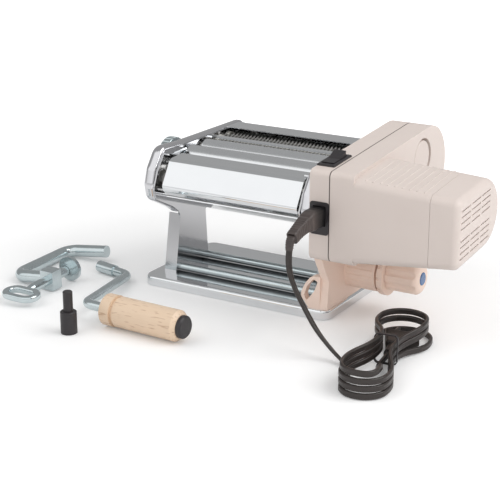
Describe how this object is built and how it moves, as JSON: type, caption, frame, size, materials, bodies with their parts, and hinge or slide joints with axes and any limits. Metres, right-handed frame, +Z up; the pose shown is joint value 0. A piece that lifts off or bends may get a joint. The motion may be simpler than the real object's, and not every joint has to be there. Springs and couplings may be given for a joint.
{
  "type": "electric pasta machine",
  "caption": "Table-top pasta machine with smooth rollers and two cutter pairs, a motor unit on its side, mains cord, table clamp, crank and adapter beside it.",
  "frame": {"origin": "centre of the base tray's underside, on the table", "axes": "+X from the machine to its motor unit along the rollers, +Y to the back, +Z up"},
  "size_m": [0.48, 0.3469, 0.1665],
  "materials": {
    "chrome": "polished",
    "steel": "satin",
    "zinc": "bright zinc plate",
    "roller": "polished",
    "motor_plastic": "satin cream",
    "foot_plastic": "satin warm beige",
    "black_plastic": "satin black",
    "blue_plastic": "gloss blue",
    "grey_plastic": "satin",
    "cord_rubber": "satin dark brown",
    "nylon": "natural",
    "gear_steel": "oiled",
    "lamination": "varnished",
    "beech": "lacquered beech"
  },
  "bodies": {
    "machine": {"base_tray": "chrome", "side_frame_left": "chrome", "side_frame_right": "chrome", "side_cover_left": "chrome", "side_cover_right": "chrome", "front_panel": "chrome", "lower_chute": "steel", "rear_cover": "chrome", "rear_guide": "chrome", "feed_guides": "steel", "tie_rods": "zinc", "frame_screws": "zinc", "shaft_bushes": "nylon", "fine_combs": "steel", "wide_combs": "steel", "gear_case_inner": "motor_plastic", "gear_case_outer": "motor_plastic", "motor_housing": "motor_plastic", "end_cap": "motor_plastic", "switch_bezel": "black_plastic", "mains_inlet": "black_plastic", "connector": "cord_rubber", "cord": "cord_rubber", "cord_hank": "cord_rubber", "cord_tie": "black_plastic", "mains_plug": "cord_rubber", "support_foot": "foot_plastic", "knob_collar": "foot_plastic", "lock_ring": "foot_plastic", "motor_stator": "lamination", "motor_bracket": "zinc", "motor_bearings": "steel"},
    "rear_roller": {"smooth_roller_rear": "roller", "smooth_gear_rear": "gear_steel", "output_gear": "gear_steel"},
    "roller_carriage": {"roller_sleeves": "nylon"},
    "front_roller": {"smooth_roller_front": "roller", "smooth_gear_front": "gear_steel"},
    "dial": {"eccentric_bushes": "zinc", "link_rod": "steel", "thickness_dial": "zinc"},
    "wide_front": {"wide_cutter_front": "steel"},
    "wide_rear": {"wide_cutter_rear": "steel"},
    "fine_front": {"fine_cutter_front": "steel"},
    "fine_rear": {"fine_cutter_rear": "steel"},
    "gear_two": {"second_gear": "nylon"},
    "gear_one": {"first_gear": "nylon"},
    "rotor": {"motor_rotor": "lamination", "motor_fan": "nylon"},
    "switch": {"switch_rocker": "black_plastic"},
    "button": {"release_button": "motor_plastic"},
    "foot_knob": {"support_knob": "foot_plastic", "knob_cap": "blue_plastic"},
    "crank": {"crank_arm": "zinc"},
    "crank_grip": {"crank_handle": "beech", "handle_cap": "black_plastic"},
    "clamp": {"clamp_hook": "zinc"},
    "clamp_disc": {"clamp_pad": "zinc"},
    "clamp_spindle": {"clamp_screw": "zinc"},
    "loose_adapter": {"adapter": "black_plastic"}
  },
  "joints": [
    {"name": "rotor_spin", "type": "hinge", "parent": "machine", "child": "rotor", "pos_m": [0, -0.0365, 0.111], "axis": [1, 0, 0], "continuous": true},
    {"name": "first_gear_spin", "type": "hinge", "parent": "machine", "child": "gear_one", "pos_m": [0, -0.01475, 0.11907], "axis": [1, 0, 0], "continuous": true},
    {"name": "second_gear_spin", "type": "hinge", "parent": "machine", "child": "gear_two", "pos_m": [0, -0.00263, 0.09928], "axis": [1, 0, 0], "continuous": true},
    {"name": "rear_roller_spin", "type": "hinge", "parent": "machine", "child": "rear_roller", "pos_m": [0, 0.0145, 0.1269], "axis": [1, 0, 0], "continuous": true},
    {"name": "front_roller_spin", "type": "hinge", "parent": "roller_carriage", "child": "front_roller", "pos_m": [0, -0.0148, 0.1269], "axis": [1, 0, 0], "continuous": true},
    {"name": "thickness_dial_turn", "type": "hinge", "parent": "machine", "child": "dial", "pos_m": [0, -0.014, 0.12581], "axis": [-1, 0, 0], "range_deg": [0, 80]},
    {"name": "front_roller_shift", "type": "slide", "parent": "machine", "child": "roller_carriage", "axis": [0, 1, 0], "range_m": [-0.00001, 0.00161]},
    {"name": "wide_cutter_spin", "type": "hinge", "parent": "machine", "child": "wide_front", "pos_m": [0, -0.05351, 0.112], "axis": [1, 0, 0], "continuous": true},
    {"name": "wide_cutter_rear_spin", "type": "hinge", "parent": "machine", "child": "wide_rear", "pos_m": [0, -0.03451, 0.112], "axis": [1, 0, 0], "continuous": true},
    {"name": "fine_cutter_spin", "type": "hinge", "parent": "machine", "child": "fine_rear", "pos_m": [0, 0.066, 0.12929], "axis": [1, 0, 0], "continuous": true},
    {"name": "fine_cutter_front_spin", "type": "hinge", "parent": "machine", "child": "fine_front", "pos_m": [0, 0.047, 0.12929], "axis": [1, 0, 0], "continuous": true},
    {"name": "switch_rock", "type": "hinge", "parent": "machine", "child": "switch", "pos_m": [0.1063, -0.05404, 0.1578], "axis": [-1, 0, 0], "range_deg": [0, 20]},
    {"name": "release_press", "type": "slide", "parent": "machine", "child": "button", "axis": [-1, 0, 0], "range_m": [0, 0.0025], "stiffness_N_per_m": 400, "springref_m": -0.001},
    {"name": "support_knob_turn", "type": "hinge", "parent": "machine", "child": "foot_knob", "pos_m": [0, -0.008, 0.0395], "axis": [1, 0, 0], "range_deg": [0, 90]},
    {"name": "crank_lift", "type": "slide", "parent": "machine", "child": "crank", "axis": [0, 0, 1], "range_m": [0, 0.1]},
    {"name": "crank_grip_spin", "type": "hinge", "parent": "crank", "child": "crank_grip", "pos_m": [-0.07, -0.177, 0.0156], "axis": [0.9995, -0.0331, 0], "continuous": true},
    {"name": "clamp_lift", "type": "slide", "parent": "machine", "child": "clamp", "axis": [0, 0, 1], "range_m": [0, 0.1]},
    {"name": "clamp_screw_turn", "type": "hinge", "parent": "clamp_disc", "child": "clamp_spindle", "pos_m": [-0.178, -0.096, 0.0132], "axis": [0.0266, 0.9979, 0.0599], "range_deg": [-2880, 4320]},
    {"name": "clamp_disc_slide", "type": "slide", "parent": "clamp", "child": "clamp_disc", "axis": [0.0266, 0.9979, 0.0599], "range_m": [-0.01601, 0.02401]},
    {"name": "adapter_lift", "type": "slide", "parent": "machine", "child": "loose_adapter", "axis": [0, 0, 1], "range_m": [0, 0.1]}
  ],
  "couplings": [
    {"joint": "first_gear_spin", "follows": "rotor_spin", "ratio": -0.20833},
    {"joint": "second_gear_spin", "follows": "rotor_spin", "ratio": 0.043403},
    {"joint": "rear_roller_spin", "follows": "rotor_spin", "ratio": -0.013021},
    {"joint": "front_roller_spin", "follows": "rotor_spin", "ratio": 0.013021},
    {"joint": "front_roller_shift", "follows": "thickness_dial_turn", "m_per_rad": 0.0011459},
    {"joint": "wide_cutter_rear_spin", "follows": "wide_cutter_spin", "ratio": -1},
    {"joint": "fine_cutter_front_spin", "follows": "fine_cutter_spin", "ratio": -1},
    {"joint": "clamp_disc_slide", "follows": "clamp_screw_turn", "m_per_rad": 0.00031831}
  ]
}
